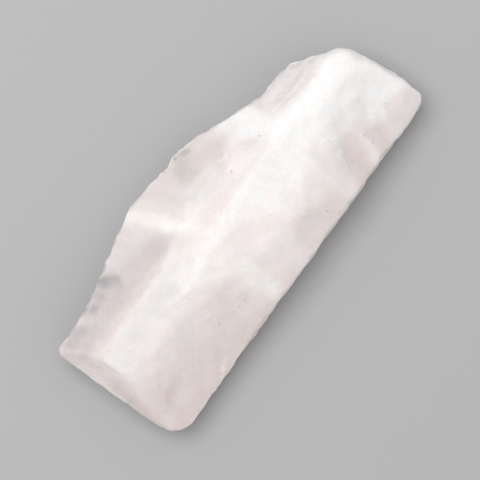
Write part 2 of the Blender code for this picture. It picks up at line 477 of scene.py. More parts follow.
# %% Strokes
STROKES = {
    "flank line, long": ((32, 8.3), (50, 5.2), 0.9, -0.14),
    "flank line, pale": ((37, 7.9), (46.5, 7.2), 0.7, 0.10),
    "flank line, lower": ((35, 10.6), (46, 9.0), 0.8, -0.09),
    "arc, upper": ((-35, 0.2), (-21, -3.2), 1.5, 0.10),
    "arc, middle": ((-21, -3.2), (-15, -8), 1.5, 0.12),
    "arc, lower": ((-15, -8), (-12, -14), 1.5, 0.09),
    "fan rib, pale": ((27, -8), (25, -25), 2.6, 0.20),
    "fan rib, dark": ((49.5, -8), (46.5, -14), 1.5, 0.14),
    "fan rib, dark, lower": ((46.5, -14), (42.5, -25), 1.7, 0.13),
    "fan, rim of the first scar": ((30.5, -19), (40.5, -5), 1.7, 0.11),
    "fan streak": ((33.6, -10.5), (37, -6.4), 1.0, 0.10),
    "fan hackle": ((56, -7), (52.6, -24), 1.0, 0.07),
    "fan hackle, outer": ((59.5, -9), (58, -24), 1.1, 0.07),
    "hairline crack": ((50.6, -15.9), (53.6, -18.4), 0.6, -0.12),
    "bowl streak": ((6, 9.6), (15, 13.2), 0.9, 0.07),
    "bowl streak, lower": ((9, 8.3), (17, 11.2), 0.8, 0.06),
    "ridge, upper": ((-18, 23), (-13.6, 15), 3.2, 0.16),
    "ridge, lower": ((-13.6, 15), (-7, 4), 2.6, 0.12),
    "second ridge": ((22, 17.5), (16, 10.5), 2.8, 0.12),
    "flank furrow": ((-49, 12), (-47.4, 17.6), 1.4, -0.12),
    "flank furrow, next": ((-44, 11.8), (-42.6, 18.4), 1.5, -0.14),
    "flank furrow, last": ((-33.6, 12.6), (-34.6, 19), 1.4, -0.10),
}
STROKES_ABOVE = 8  # no strokes below this height, in millimetres
STROKE_WOBBLE = 0.35  # how far a stroke wanders, in millimetres,
STROKE_WAVE = 4.0  # and how far apart its bends are
STROKE_ENDS = 0.35  # how tall it still is at its ends


def stroke_height(place):
    """Height that the strokes add at a place on the top, in millimetres."""
    if place.z < STROKES_ABOVE * MM:
        return 0.0
    here = Vector((place.x, place.y)) / MM
    here += noise.noise_vector(place / (STROKE_WAVE * MM)).xy * STROKE_WOBBLE
    total = 0.0
    for start, end, wide, tall in STROKES.values():
        start = Vector(start)
        off, along = off_line(here - start, Vector(end) - start)
        off /= wide
        if off < 1:
            ends = min(1.0, 4 * along * (1 - along) + STROKE_ENDS)
            total += tall * ends * (1 - off * off) ** 2
    return total


print(f"{len(STROKES)} strokes")

# %% [markdown]
# All the relief is added up for each point, and only then do the points move, each along
# its own normal, as a sculpting brush would move them. Moved one by one, the first points
# would change the normals of the next.

# %% Move the skin
moves = []
for vert in skin.verts:
    side = steepness(vert.normal)
    tall = swell(vert.co) * (1 + SIDES_ROUGHER * side) + hackle(vert.co) * side
    moves.append(vert.normal * (tall + ripple(vert.co) + stroke_height(vert.co)) * MM)
for vert, move in zip(skin.verts, moves):
    vert.co += move
print("relief up to", round(max(move.length for move in moves) / MM, 2), "mm")

# %% [markdown]
# The plain solid's box is the size of the stone, so no point may stand outside it. This
# also keeps the stone from sinking into the ground.

# %% Keep the stone inside its own box
def fit_into(skin, low, high):
    """Hold every point of the skin inside the box of the plain solid."""
    for vert in skin.verts:
        for axis in range(3):
            vert.co[axis] = clamp(vert.co[axis], low[axis], high[axis])


fit_into(skin, low, high)
skin.normal_update()
skin.to_mesh(stone.data)
print(f"stone: {len(stone.data.polygons) * 2} triangles")

# %% [markdown]
# ## How thick the stone is behind each spot
# A cloudy stone is bright where there is much of it behind the surface, because the light
# that goes in is scattered back out. Where it is thin, the light leaves on the other side.
# Rays shot inwards from each point measure this, and the result is stored as an attribute
# that the material reads to paint this light and shade into the colour: thin places get
# painted shade.

# %% Measure the stone behind each point
THICKEST = 24.0  # anything deeper looks the same, in millimetres
SPREAD = 0.7  # how far the rays lean away from straight in
JUST_INSIDE = 0.05  # where they start, below the skin, in millimetres


def stone_behind(skin, surface):
    """For each point, how much stone lies behind it, in millimetres."""
    depths = []
    for vert in skin.verts:
        inward = -vert.normal
        across = inward.orthogonal().normalized()
        over = inward.cross(across)
        total = 0.0
        leans = (Vector(), across, -across, over, -over)
        for lean in leans:
            aim = (inward + SPREAD * lean).normalized()
            start = vert.co + inward * JUST_INSIDE * MM
            far = surface.ray_cast(start, aim)[3]
            total += min((far or 0.0) / MM, THICKEST)
        depths.append(total / len(leans))
    return depths


surface = BVHTree.FromBMesh(skin)
depths = stone_behind(skin, surface)
print(f"stone behind the surface: {min(depths):.1f} to {max(depths):.1f} mm")

# %% [markdown]
# ## Which way each face leans, and where the arrises are
# Three more measurements help the material. The lean is the way out of the skin at a
# point. An arris is found by relaxing the skin once the mesh is finished: a sharp edge
# sinks into the stone, a hollow rises, and a flat face stays where it is. The rim is the
# outline seen from above.

# %% Measure leans and arrises
ARRIS_ROUNDS = 6
ARRIS_FULL = 0.13  # how far a full arris sinks, in millimetres
# painted light: the rim is a bright band along the outline seen from above, as if light glowed
# through the edge
RIM_WIDE = 1.1  # how far in from the outline the bright rim goes, in millimetres
RIM_END = 0.3  # points this near the stone's two ends are rim too
RIM_UP = 0.45  # it is seen where the skin faces up more than this,
RIM_FADE = 4  # and how fast it comes up past that

leans = [vert.normal.copy() for vert in skin.verts]
places = [vert.co.copy() for vert in skin.verts]
relax(skin, ARRIS_ROUNDS)
sinks = [
    (place - vert.co).dot(lean) / MM / ARRIS_FULL
    for place, vert, lean in zip(places, skin.verts, leans)
]
skin.free()
arrises = [clamp(sink, -1.0) for sink in sinks]
print(f"points on an arris: {sum(arris > 0.5 for arris in arrises)}")


def nearness_to_rim(places, leans):
    """One on the outline seen from above, down to nothing a little way in."""
    rows = {}
    for place in places:
        rows.setdefault(round(place.x / MM), []).append(place)
    rim = [min(row, key=lambda place: place.y) for row in rows.values()]
    rim += [max(row, key=lambda place: place.y) for row in rows.values()]
    first, last = min(p.x for p in places), max(p.x for p in places)
    rim += [place for place in places if min(place.x - first, last - place.x) < RIM_END * MM]
    tree = tree_of([(place.x, place.y, 0.0) for place in rim])
    near = []
    for place, lean in zip(places, leans):
        far = tree.find((place.x, place.y, 0.0))[2] / MM / RIM_WIDE
        near.append(max(1.0 - far, 0.0) * clamp((lean.z - RIM_UP) * RIM_FADE))
    return near


def store(piece, name, values):
    """Keep one number for each point of the piece, for its material to read."""
    layer = piece.data.attributes.new(name, "FLOAT", "POINT")
    layer.data.foreach_set("value", values)


# the material paints light and shade into the colour from these measures
store(stone, "stone_behind", depths)
store(stone, "arris", arrises)
store(stone, "rim", nearness_to_rim(places, leans))
store(stone, "lean_thin_edge", [lean.y for lean in leans])

# %% [markdown]
# ## Veils, with painted light and shade
# The stone is nearly white, with a breath of pink. Inside it hang veils: clouds of tiny
# bubbles that look white or cream, and clearer parts where the pink, or the dark behind,
# shows. Each is a soft stroke between two spots, in millimetres, with its reach, strength
# and colour. They are laid over one another like glazes of thin paint. Many strokes are
# also painted light and shade: faces are toned lighter or darker as the light falls on
# them, and the thin edge is painted dark.

# %% Where the veils and the painted light and shade hang
WHITE = (0.99, 0.975, 0.965, 1.0)
IVORY = (0.94, 0.92, 0.88, 1.0)
SHELL = (0.93, 0.85, 0.84, 1.0)
MILK = (0.87, 0.84, 0.83, 1.0)
PEARL = (0.79, 0.77, 0.765, 1.0)
CREAM = (0.80, 0.765, 0.73, 1.0)
BLUSH = (0.81, 0.725, 0.705, 1.0)
ROSE = (0.73, 0.65, 0.625, 1.0)
RUSSET = (0.70, 0.585, 0.55, 1.0)
MAUVE = (0.60, 0.54, 0.53, 1.0)
LILAC = (0.71, 0.685, 0.69, 1.0)
DARK_GREY = (0.37, 0.345, 0.36, 1.0)
OLIVE = (0.50, 0.48, 0.445, 1.0)
PIT = (0.34, 0.29, 0.29, 1.0)

TOP_LEVEL = 17.0  # the strokes are drawn at this height, in millimetres
DOWN_COUNTS = 0.15  # how much a step down counts beside a step across
# painted shade: a face on the thin side of the crest gets its full painted shade at this lean
CREST_LEAN = 0.12  # a face that leans this far is fully on the thin side of the crest
FRAYS = ((11.0, 1.5), (2.6, 0.7), (0.9, 0.3))  # wavelength and how far, in mm
NO_COVER = 1e-6  # keeps bare stone from dividing by nothing

VEILS_LIGHT_AND_SHADE = {
    # the tone of each face: partly the stone's own tint, and partly painted shade, each face
    # darker as less light falls on it and the thin flank painted dark, as if the dark under the
    # thin stone showed through
    "plateau": ((-53, 2.4), (-22, 3.2), 11, 0.95, PEARL),
    "bevel": ((-60, 14), (-60, 0), 4.5, 0.8, BLUSH),
    "bevel, lower half": ((-60.5, -3), (-60.8, -20), 4.8, 1.0, RUSSET),
    "long flank, sawn corner": ((-57, -17), (-24, -19), 13, 0.65, ROSE),
    "beside the bevel": ((-58, -8), (-55, -20), 9, 0.4, ROSE),
    "bevel, inner side": ((-58.3, 6), (-58.6, -10), 2.2, 0.6, BLUSH),
    "long flank, sawn foot": ((-56, -25), (-16, -26), 8, 0.7, RUSSET),
    "long flank, foot": ((-18, -26), (22, -25), 6, 0.55, ROSE),
    "foot, darker": ((10, -19), (22, -21), 6, 0.4, ROSE),
    "thin flank, sawn end": ((-56, 13.5), (-22, 13.5), 8, 0.9, MAUVE),
    "thin flank, brownest": ((-40, 12.5), (-22, 12.0), 6, 0.45, MAUVE),
    "thin flank, bowl": ((-5, 19), (11, 17), 8, 0.25, ROSE),
    "bowl, brown side": ((6, 14.6), (13, 15.4), 5, 0.4, RUSSET),
    "bowl, pale floor": ((-4, 11.5), (6, 12), 6.5, 0.6, IVORY),
    # clearer, pinker stone, and a painted shade beside the fan's first scar
    "red streak": ((-56, -17.6), (-47.5, -14.6), 2.8, 0.6, RUSSET),
    "red patch": ((-46, -20.5), (-41, -19), 4.5, 0.45, RUSSET),
    "red patch, next": ((-34, -22.0), (-24, -22.0), 5, 0.6, RUSSET),
    "brown under the arc": ((-21, -9), (-17, -17), 5, 0.4, ROSE),
    "blush below the crest": ((-1, 0), (0, -10), 6, 0.8, SHELL),
    "blush, middle": ((2, -15), (8, -14), 8, 0.4, SHELL),
    "fan, first scar": ((32.5, -26), (37, -17), 6.5, 0.8, RUSSET),
    "fan, shade of the first scar": ((32, -20.5), (43, -7), 2.4, 0.35, LILAC),
    "fan, left of the scar": ((29, -19), (35, -12), 3, 0.45, LILAC),
    "fan, second scar": ((44.5, -26), (46.8, -19.5), 3.6, 0.75, ROSE),
    "fan, third scar": ((51, -25), (53, -18), 4, 0.35, LILAC),
    "fan, end": ((57, -25), (61, -21), 7, 0.55, LILAC),
    "lilac patch": ((-31, 21), (-22, 19.5), 6, 0.7, LILAC),
    "grey patch": ((-37, -9), (-33, -7.5), 4, 0.35, LILAC),
    # painted shade along the thin edge: dark where the stone is thin, as if the dark under it
    # showed through
    "thin-edge shade, round about": ((-44, 17.5), (-34, 17.5), 5, 0.55, MAUVE),
    "thin-edge shade, root": ((-38.8, 20.8), (-37.6, 18.6), 3.0, 0.95, DARK_GREY),
    "thin-edge shade, right prong": ((-37.8, 18.6), (-35.2, 16), 4.2, 0.95, DARK_GREY),
    "thin-edge shade, left prong": ((-42.7, 18.6), (-41.8, 16.6), 3.0, 0.65, DARK_GREY),
    "thin-edge shade, small": ((-47.8, 18.0), (-46.2, 16.8), 3.2, 0.9, DARK_GREY),
    "thin-edge shade, corner": ((-58, 17.4), (-53, 16.6), 4.2, 0.6, DARK_GREY),
    "thin-edge shade, bowl": ((6.5, 22), (3, 19.5), 6.5, 0.9, OLIVE),
    "thin-edge shade, bowl edge": ((4, 25), (8.4, 23), 1.8, 0.6, DARK_GREY),
    "thin-edge shade, bowl haze": ((7.8, 22.6), (9.2, 19.6), 2.2, 0.5, LILAC),
    "thin-edge shade, broken end": ((41.2, 13.6), (45.6, 10.9), 3.2, 0.5, DARK_GREY),
    "thin-edge shade, second ridge": ((25, 17.2), (30, 15.2), 2.0, 0.4, OLIVE),
    # milky veils: partly the stone's milky white, and partly painted light, whiter where the
    # faces take more light, below the crest, on the ridges and at the broken end; the plateau's
    # upper edge is painted shade against its highlight
    "crest, middle": ((8, -1), (40, -2), 11, 0.9, WHITE),
    "crest, sawn side": ((-22, 0), (4, 0.4), 4.5, 0.7, WHITE),
    "middle, pale": ((12, -7), (26, -9), 9, 0.6, WHITE),
    "crest, broken end": ((38, 0), (61, 0), 9, 1.0, WHITE),
    "broken end, corner": ((53, 2.5), (61, -4), 6, 1.0, WHITE),
    "broken end, pale side": ((46, -5.5), (62, -12.5), 9.5, 1.0, WHITE),
    "fan, pale middle": ((38, -9.5), (47, -10), 6.5, 0.8, IVORY),
    "fan, outer field": ((50.5, -14.5), (60, -14), 7, 1.0, WHITE),
    "fan, rim of the first scar": ((31.5, -16), (40.5, -5), 2.0, 0.3, WHITE),
    "ridge, upper": ((-18, 26), (-13.5, 15), 5.5, 0.85, IVORY),
    "ridge, lower": ((-13.5, 15), (-5, 2.5), 4.5, 0.9, IVORY),
    "ridge, right side": ((-12, 22), (-7, 16), 4.5, 0.75, CREAM),
    "wedge": ((-20, 6.2), (-11, 6), 5, 0.7, CREAM),
    "wedge, foot": ((-24, 3.4), (-15, 3.2), 3.2, 0.6, IVORY),
    "plateau, upper edge": ((-55, 7.8), (-24, 8.8), 2.6, 0.85, ROSE),
    "arc, upper": ((-24, -1), (-15, -5), 4.5, 0.5, IVORY),
    "arc, middle": ((-15, -5), (-9.5, -12), 4.5, 0.7, IVORY),
    "arc, lower": ((-9.5, -12), (-10.5, -21.5), 5, 0.9, IVORY),
    "arc, inside": ((-12, -3.5), (-7.5, -5), 4.2, 0.7, IVORY),
    # painted light and shade: where the two flanks meet, the thin one is painted a little
    # darker, the thin flank at the broken end is painted darker too, and the second ridge is
    # painted whiter where it faces the light
    "above the crest": ((6, 4.6), (20, 5.0), 5.4, 0.9, PEARL),
    "blush above the crest": ((-5, 6), (2.5, 4.4), 4.8, 0.85, BLUSH),
    "thin flank, broken end": ((34, 9.6), (44, 9.2), 6, 0.9, MILK),
    "thin flank, last": ((46, 9), (53, 8), 5, 0.8, PEARL),
    "broken end, its shade": ((41, 11.5), (50, 9.5), 4.5, 0.55, LILAC),
    "second ridge, left side": ((13, 9), (21, 12.5), 5.5, 0.85, SHELL),
    "second ridge, edge": ((21, 18.5), (26, 12), 7, 1.0, WHITE),
    "second ridge, crest": ((24, 12), (31, 4), 7, 0.9, WHITE),
    "bowl, pale rim": ((15, 20), (21, 15), 4, 0.45, CREAM),
    "fan rib": ((29, -8), (25.5, -25), 3.4, 0.5, PEARL),
    "fan rib, dark": ((42.2, -25), (44.2, -18.5), 3.0, 0.72, MAUVE),
    "fan rib, dark, upper": ((44, -19), (48.8, -9), 2.6, 0.5, LILAC),
}
SHADED_UP_TO_THE_CREST = ("above the crest", "blush above the crest", "wedge")


def smooth(share):
    """A soft S-shaped step from nothing to one."""
    share = np.clip(share, 0.0, 1.0)
    return share ** 3 * (share * (share * 6 - 15) + 10)


def frayed(place):
    """A place pushed about by noise of three sizes, so that strokes get frayed edges."""
    here = place / MM
    for wave, far in FRAYS:
        here += noise.noise_vector(place / (wave * MM)) * far
    return here.x, here.y, (here.z - TOP_LEVEL) * DOWN_COUNTS


def lay_veils_light_and_shade(places, leans, veils):
    """Lay every veil, and the painted light and shade, over the points. Gives each point its
    colour and how much is covered.
    """
    spots = np.array([frayed(place) for place in places])
    thin_side_shade = smooth(np.array([lean.y for lean in leans]) / CREST_LEAN)
    colours, bare = np.zeros((len(spots), 3)), np.ones(len(spots))
    for name, (start, end, reach, strength, tint) in veils.items():
        start, end = np.array((*start, 0.0)), np.array((*end, 0.0))
        line = end - start
        along = np.clip((spots - start) @ line / max(line @ line, NO_LENGTH), 0.0, 1.0)
        gap = np.linalg.norm(spots - start - along[:, None] * line, axis=1)
        mask = strength * smooth(1 - gap / reach)
        if name in SHADED_UP_TO_THE_CREST:
            mask *= thin_side_shade
        colours += (np.array(tint[:3]) - colours) * mask[:, None]
        bare *= 1 - mask
    cover = 1 - bare
    return colours / np.maximum(cover, NO_COVER)[:, None], cover


veil_light_and_shade_colours, veil_light_and_shade_cover = lay_veils_light_and_shade(places, leans, VEILS_LIGHT_AND_SHADE)
layer = stone.data.attributes.new("veil_light_and_shade_colour", "FLOAT_COLOR", "POINT")
layer.data.foreach_set("color", np.c_[veil_light_and_shade_colours, np.ones(len(places))].ravel())
store(stone, "veil_light_and_shade_cover", veil_light_and_shade_cover)
print(f"{len(VEILS_LIGHT_AND_SHADE)} veils, which cover {veil_light_and_shade_cover.mean():.0%} of the colour")

# %% [markdown]
# ## Building shader nodes
# Materials are made in code from small nodes. One helper adds a node, sets its options and
# feeds its inputs, either with a plain value or with another node's output. The others are
# short ways to add the nodes that come up again and again.

# %% Helpers for nodes
def add(tree, kind, feeds=None, **options):
    """Add a node, set its options, and feed its inputs with values or outputs."""
    made = tree.nodes.new(kind)
    for option, value in options.items():
        setattr(made, option, value)
    for socket, source in (feeds or {}).items():
        target = made.inputs[socket]
        if isinstance(source, bpy.types.NodeSocket):
            tree.links.new(source, target)
        else:
            target.default_value = source
    return made


def maths(tree, operation, first, second, **options):
    """What a sum of two numbers gives."""
    feeds = {0: first, 1: second}
    return add(tree, "ShaderNodeMath", feeds, operation=operation, **options).outputs[0]


def vector_maths(tree, operation, first, second, gives="Vector"):
    """What a sum of two vectors gives. To scale one, the second is a number."""
    feeds = {0: first, "Scale" if operation == "SCALE" else 1: second}
    return add(tree, "ShaderNodeVectorMath", feeds, operation=operation).outputs[gives]


def fade(tree, value, start, end, low=0.0, high=1.0, kind="SMOOTHSTEP"):
    """Spread a value softly from one range to another."""
    feeds = {"Value": value, "From Min": start, "From Max": end, "To Min": low, "To Max": high}
    return add(tree, "ShaderNodeMapRange", feeds, interpolation_type=kind).outputs["Result"]


def noise_value(tree, place, size, detail, rough=0.5):
    """Plain noise, mostly between 0.3 and 0.7."""
    feeds = {"Vector": place, "Scale": size, "Detail": detail, "Roughness": rough}
    return add(tree, "ShaderNodeTexNoise", feeds).outputs["Fac"]


def mask_group(name, vectors, numbers):
    """An empty node group that takes vectors and numbers, and gives a mask."""
    group = bpy.data.node_groups.new(name, "ShaderNodeTree")
    for kind, sockets in (("NodeSocketVector", vectors), ("NodeSocketFloat", numbers)):
        for socket in sockets:
            group.interface.new_socket(socket, in_out="INPUT", socket_type=kind)
    group.interface.new_socket("Mask", in_out="OUTPUT", socket_type="NodeSocketFloat")
    inside, outside = group.nodes.new("NodeGroupInput"), group.nodes.new("NodeGroupOutput")
    return group, inside.outputs, outside.inputs["Mask"]

# %% [markdown]
# ## Marks smaller than the mesh
# Pits, bruises and scratches are finer than the squares of the mesh, so the material draws
# them itself. The group below measures how far a place is from the line between two spots
# and turns that into the mask of a soft stroke.

# %% The stroke group
NO_SQUARE = 0.001  # keeps a line of no length from dividing by nothing


def stroke_group():
    """A soft stroke from one spot to another, as a mask."""
    group, pins, mask = mask_group(
        "quartz_stroke", ("Place", "From", "To"), ("Reach", "Strength"))
    line = vector_maths(group, "SUBTRACT", pins["To"], pins["From"])
    away = vector_maths(group, "SUBTRACT", pins["Place"], pins["From"])
    lined = vector_maths(group, "DOT_PRODUCT", away, line, "Value")
    squared = vector_maths(group, "DOT_PRODUCT", line, line, "Value")
    never_zero = maths(group, "ADD", squared, NO_SQUARE)
    along = maths(group, "DIVIDE", lined, never_zero, use_clamp=True)
    reached = vector_maths(group, "SCALE", line, along)
    gap = vector_maths(group, "DISTANCE", away, reached, "Value")
    soft = fade(group, gap, 0.0, pins["Reach"], pins["Strength"], 0.0, "SMOOTHERSTEP")
    group.links.new(soft, mask)
    return group


stroke = stroke_group()
print("stroke group:", len(stroke.nodes), "nodes")

# %% [markdown]
# The marks are listed in the same way as the veils. Pits where a grain fell out and
# hair-thin scratches are dark. Bruises, where the stone was knocked, are white and torn.

# %% Flecks, pits and scratches
FLECKS = {
    "pit by the feathers": ((10.6, 8), (10.7, 7.9), 0.5, 0.45, PIT),
    "pit, second ridge": ((23.7, 7.7), (24.1, 7.4), 0.45, 0.3, PIT),
    "dark fleck by the notch": ((3.8, 24.4), (4.2, 23.9), 0.9, 0.6, DARK_GREY),
    "dark fleck, bowl edge": ((6.9, 22.9), (8.1, 22), 1.5, 0.38, DARK_GREY),
    "pit, fan": ((42.2, -17), (42.3, -17.2), 0.6, 0.22, PIT),
    "pit, fan, lower": ((41.6, -20.5), (42.4, -20.3), 0.5, 0.25, PIT),
    "pit, foot": ((18, -21.5), (18.1, -21.6), 0.5, 0.5, PIT),
    "pit, long flank": ((-27.6, -15.4), (-27.4, -15.5), 0.55, 0.3, PIT),
    "pit, under the arc": ((-20, -17), (-19.7, -17.1), 0.65, 0.18, PIT),
    "pit, under the arc, next": ((-17.6, -17.4), (-17.3, -17.3), 0.55, 0.18, PIT),
    "scratch, plateau": ((-35.4, 3), (-32.6, 3), 0.5, 0.18, RUSSET),
    "scratch, plateau, next": ((-32.6, 3), (-29.2, 4.4), 0.5, 0.18, RUSSET),
    "scratch, long flank": ((-55.4, -16.9), (-50.8, -14.6), 0.45, 0.2, MAUVE),
    "scratch, fan": ((52.4, -15.7), (54.2, -17.9), 0.45, 0.22, MAUVE),
    "scratch, fan, crossing": ((53.6, -16.6), (52.4, -17.4), 0.4, 0.2, MAUVE),
    "flank line, dark": ((38.8, 8.1), (46.6, 8.5), 0.8, 0.4, LILAC),
}
BRUISES = {
    "beside the pit": ((9.2, 9.4), (12.2, 8.8), 1.1, 0.6, WHITE),
    "foot of the second pit": ((22.6, 6.9), (24.8, 6.3), 1, 0.55, WHITE),
    "plateau": ((-28.2, -2.2), (-25, -3.4), 2.6, 0.7, WHITE),
    "long flank": ((-27.2, -10.7), (-26, -10.2), 1.6, 0.55, WHITE),
    "bevel": ((-55, -4.9), (-54.6, -6.4), 1.1, 0.4, WHITE),
    "fan": ((33.4, -8.4), (36, -9.6), 2.3, 0.85, WHITE),
    "fan, hackles": ((31.2, -18.6), (34.4, -14.4), 1.2, 0.5, WHITE),
    "chip, sawn half": ((-38.8, -25.2), (-35.8, -23.2), 2.4, 0.6, IVORY),
    "chip, middle": ((18.6, -25.4), (20.4, -24.8), 1.4, 0.6, WHITE),
    "feathers": ((6, 10.6), (13.2, 12.6), 3, 0.42, WHITE),
    "feathers, left": ((-4.4, 11.8), (-1.6, 10.2), 1.6, 0.35, WHITE),
    "flank line": ((39.6, 7), (46.6, 7.4), 0.9, 0.70, WHITE),
    "dash above the crest": ((-1.1, 4.3), (0.7, 4.9), 0.7, 0.4, WHITE),
    "dash on the crest": ((1.7, 2.6), (2.5, 2.3), 0.7, 0.4, WHITE),
}
print(f"{len(FLECKS)} dark marks and {len(BRUISES)} bruises")

# %% [markdown]
# ## Clouds, healed cracks and specks
# Three finer patterns fill the stone. Clouds are wisps of tiny bubbles, made by noise that
# is bent by more noise. Healed cracks are thin pale sheets: a Voronoi pattern gives the
# walls between cells, and noise lets only parts of them show. Specks are rare dots.

# %% Groups for the finer patterns
MIDDLE = (0.5, 0.5, 0.5)  # the middle of a noise colour, which pushes nothing
BEND_DETAIL = 3.0  # how many sizes of noise bend a place
CLOUD_BENDS = 0.12  # the size of the bends in a cloud, in bends for each millimetre
CLOUD_NOISE = (7.0, 0.62)  # detail and roughness
CLOUD_SHOWS = (0.32, 0.68)  # noise that is clear stone, and that is full cloud
CRACK_BENDS = (0.25, 3.5)  # the size of the bends and how far they push
CRACK_PATCHES = (0.11, 2.0)  # size and detail
CRACK_SHOWS = (0.52, 0.68)  # noise that hides a crack, and that shows it all
SPECK_EDGE = (0.05, 0.16)  # how far from its middle a speck starts and ends to fade


def bent(tree, place, size, amount):
    """The place pushed about by noise, so that what is drawn there looks wispy."""
    feeds = {"Vector": place, "Scale": size, "Detail": BEND_DETAIL}
    drift = add(tree, "ShaderNodeTexNoise", feeds).outputs["Color"]
    centred = vector_maths(tree, "SUBTRACT", drift, MIDDLE)
    return vector_maths(tree, "ADD", place, vector_maths(tree, "SCALE", centred, amount))


def cloud_group():
    """Wisps, as a mask between nothing and one."""
    group, pins, mask = mask_group("quartz_clouds", ("Place",), ("Size", "Bend"))
    place = bent(group, pins["Place"], CLOUD_BENDS, pins["Bend"])
    wisps = noise_value(group, place, pins["Size"], *CLOUD_NOISE)
    group.links.new(fade(group, wisps, *CLOUD_SHOWS), mask)
    return group


def healed_crack_group():
    """Thin broken lines, as a mask between nothing and one."""
    group, pins, mask = mask_group("quartz_healed_cracks", ("Place",), ("Size", "Width"))
    feeds = {"Vector": bent(group, pins["Place"], *CRACK_BENDS), "Scale": pins["Size"]}
    walls = add(group, "ShaderNodeTexVoronoi", feeds, feature="DISTANCE_TO_EDGE")
    line = fade(group, walls.outputs["Distance"], 0.0, pins["Width"], 1.0, 0.0)
    shown = fade(group, noise_value(group, pins["Place"], *CRACK_PATCHES), *CRACK_SHOWS)
    group.links.new(maths(group, "MULTIPLY", line, shown), mask)
    return group


def speck_group():
    """Rare small dots, as a mask between nothing and one."""
    group, pins, mask = mask_group("quartz_specks", ("Place",), ("Size", "Rarity"))
    feeds = {"Vector": pins["Place"], "Scale": pins["Size"]}
    cells = add(group, "ShaderNodeTexVoronoi", feeds).outputs
    dot = fade(group, cells["Distance"], *SPECK_EDGE, 1.0, 0.0)
    parts = add(group, "ShaderNodeSeparateColor", {"Color": cells["Color"]}).outputs
    chosen = maths(group, "GREATER_THAN", parts[0], pins["Rarity"])
    group.links.new(maths(group, "MULTIPLY", dot, chosen), mask)
    return group


clouds = cloud_group()
healed_cracks = healed_crack_group()
specks = speck_group()
print("groups:", ", ".join(group.name for group in (stroke, clouds, healed_cracks, specks)))

# %% [markdown]
# ## The body of the stone and its painted shade
# A glaze is one tint laid over the colour so far, as strongly as a mask says. The first
# glazes give the stone its body, with painted shade: pinker and darker where it is thin, as
# if the light left through it, and darker where it leans to the thin edge. Over them go the
# veils.

# %% Glazes and the body
# painted shade: thin stone is painted darker and pinker, deep stone lighter
THIN_SHADE_COLOUR = (0.64, 0.575, 0.56, 1.0)
DEEP_LIT_COLOUR = (0.865, 0.80, 0.785, 1.0)
THIN_TO_DEEP = (3.0, 17.0)  # the stone behind a thin spot and a deep one, in mm
# painted shade: faces that lean to the thin edge are painted darker
LEAN_SHADE_GLAZES = (  # what is measured, where the glaze starts and is full, strength, tint
    ("lean_thin_edge", 0.08, 0.30, 0.22, MAUVE),
    ("lean_thin_edge", 0.34, 0.50, 0.25, MAUVE),
)


def measured(tree, name, output="Fac"):
    """A number, or a colour, that is stored on the piece."""
    return add(tree, "ShaderNodeAttribute", attribute_name=name).outputs[output]


def glaze(tree, mask, colour, tint):
    """Lay a tint over a colour where the mask lets it."""
    feeds = {0: mask, 6: colour, 7: tint}  # the colour sockets have these numbers
    return add(tree, "ShaderNodeMix", feeds, data_type="RGBA").outputs[2]


def glaze_by_measure(tree, colour, glazes):
    """Lay glazes that are as strong as something measured on the stone says."""
    for name, start, full, strength, tint in glazes:
        mask = fade(tree, measured(tree, name), start, full, 0.0, strength)
        colour = glaze(tree, mask, colour, tint)
    return colour


def body_colour_and_shade(tree):
    """The colour of the stone before any finer pattern, with painted shade where it is thin or
    leans to the thin edge.
    """
    thick = fade(tree, measured(tree, "stone_behind"), *THIN_TO_DEEP)
    colour = glaze(tree, thick, THIN_SHADE_COLOUR, DEEP_LIT_COLOUR)
    colour = glaze_by_measure(tree, colour, LEAN_SHADE_GLAZES)
    return glaze(tree, measured(tree, "veil_light_and_shade_cover"), colour,
                 measured(tree, "veil_light_and_shade_colour", "Color"))

# %% [markdown]
# ## Patterns in the stone
# Each pattern is one of the groups with its own settings, laid on as a weak glaze. Sizes
# are in repeats for each millimetre, so a small number is a broad pattern.

# %% Patterns in the stone
WANDER = (0.09, 5.0)  # the hazes are bent once more: size of the bends, and how far
PATTERNS = {  # group, its settings, strength and tint
    "wisps": (clouds, {"Size": 0.10, "Bend": 9.0}, 0.22, WHITE),
    "blushes": (clouds, {"Size": 0.055, "Bend": 7.0}, 0.12, BLUSH),
    "hazes": (clouds, {"Size": 0.28, "Bend": 4.0}, 0.24, LILAC),
    "sugar": (clouds, {"Size": 0.85, "Bend": 1.0}, 0.075, MAUVE),
    "healed cracks": (healed_cracks, {"Size": 0.10, "Width": 0.03}, 0.14, WHITE),
    "specks": (specks, {"Size": 0.42, "Rarity": 0.95}, 0.35, RUSSET),
}


def patterned(tree, colour, place):
    """Lay the patterns over a colour."""
    wandering = bent(tree, place, *WANDER)
    for name, (group, settings, strength, tint) in PATTERNS.items():
        feeds = {"Place": wandering if name == "hazes" else place, **settings}
        made = add(tree, "ShaderNodeGroup", feeds, node_tree=group, label=name)
        mask = maths(tree, "MULTIPLY", made.outputs["Mask"], strength)
        colour = glaze(tree, mask, colour, tint)
    return colour

# %% [markdown]
# ## Marks on the stone
# A mark is listed as seen from above, so a ray shot down finds how high the stone is there.
# Torn noise, drawn out along the slab, breaks the bruises into white shreds.

# %% Marks on the stone
ABOVE_ALL = 50.0  # the rays start at this height, in millimetres
MARK_BENDS = (0.5, 0.8)  # marks are a little bent: size of the bends, and how far
SHRED_TURN = math.radians(-17)
SHRED_SHAPE = (0.7, 1.6, 1.0)  # how fine the shreds are along, across and up
SHRED_NOISE = (1.0, 4.0, 0.6)  # size, detail and roughness
SHRED_SHOWS = (0.46, 0.66)  # noise that leaves a gap, and that leaves full white


def on_top(spot):
    """A spot seen from above, put down on the top of the stone."""
    hit = surface.ray_cast(Vector((*spot, ABOVE_ALL)) * MM, Vector((0, 0, -1)))[0]
    return (*spot, hit.z / MM * DOWN_COUNTS)


